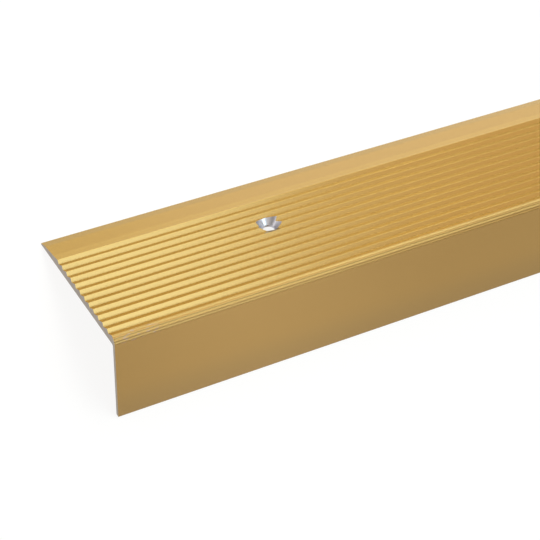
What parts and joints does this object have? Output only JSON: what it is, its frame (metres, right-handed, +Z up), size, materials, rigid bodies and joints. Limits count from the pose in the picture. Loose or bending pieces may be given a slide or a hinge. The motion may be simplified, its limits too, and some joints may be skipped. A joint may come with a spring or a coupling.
{
  "type": "stair nosing",
  "caption": "Extruded L-shaped stair nosing with a ribbed tread, a finely ridged round nose, a plain front leg and countersunk screw holes.",
  "frame": {"origin": "centre of the bounding box at floor level, with the profile lying nose up on its rear edge and the foot of its leg", "axes": "+X along the length, -Y towards the front leg, +Z up from the floor; the picture's near end is at -X"},
  "size_m": [1, 0.0578, 0.0248],
  "materials": {
    "gold_anodised": "satin anodised, gold"
  },
  "bodies": {
    "root": {"nosing_profile": "gold_anodised"}
  },
  "joints": []
}
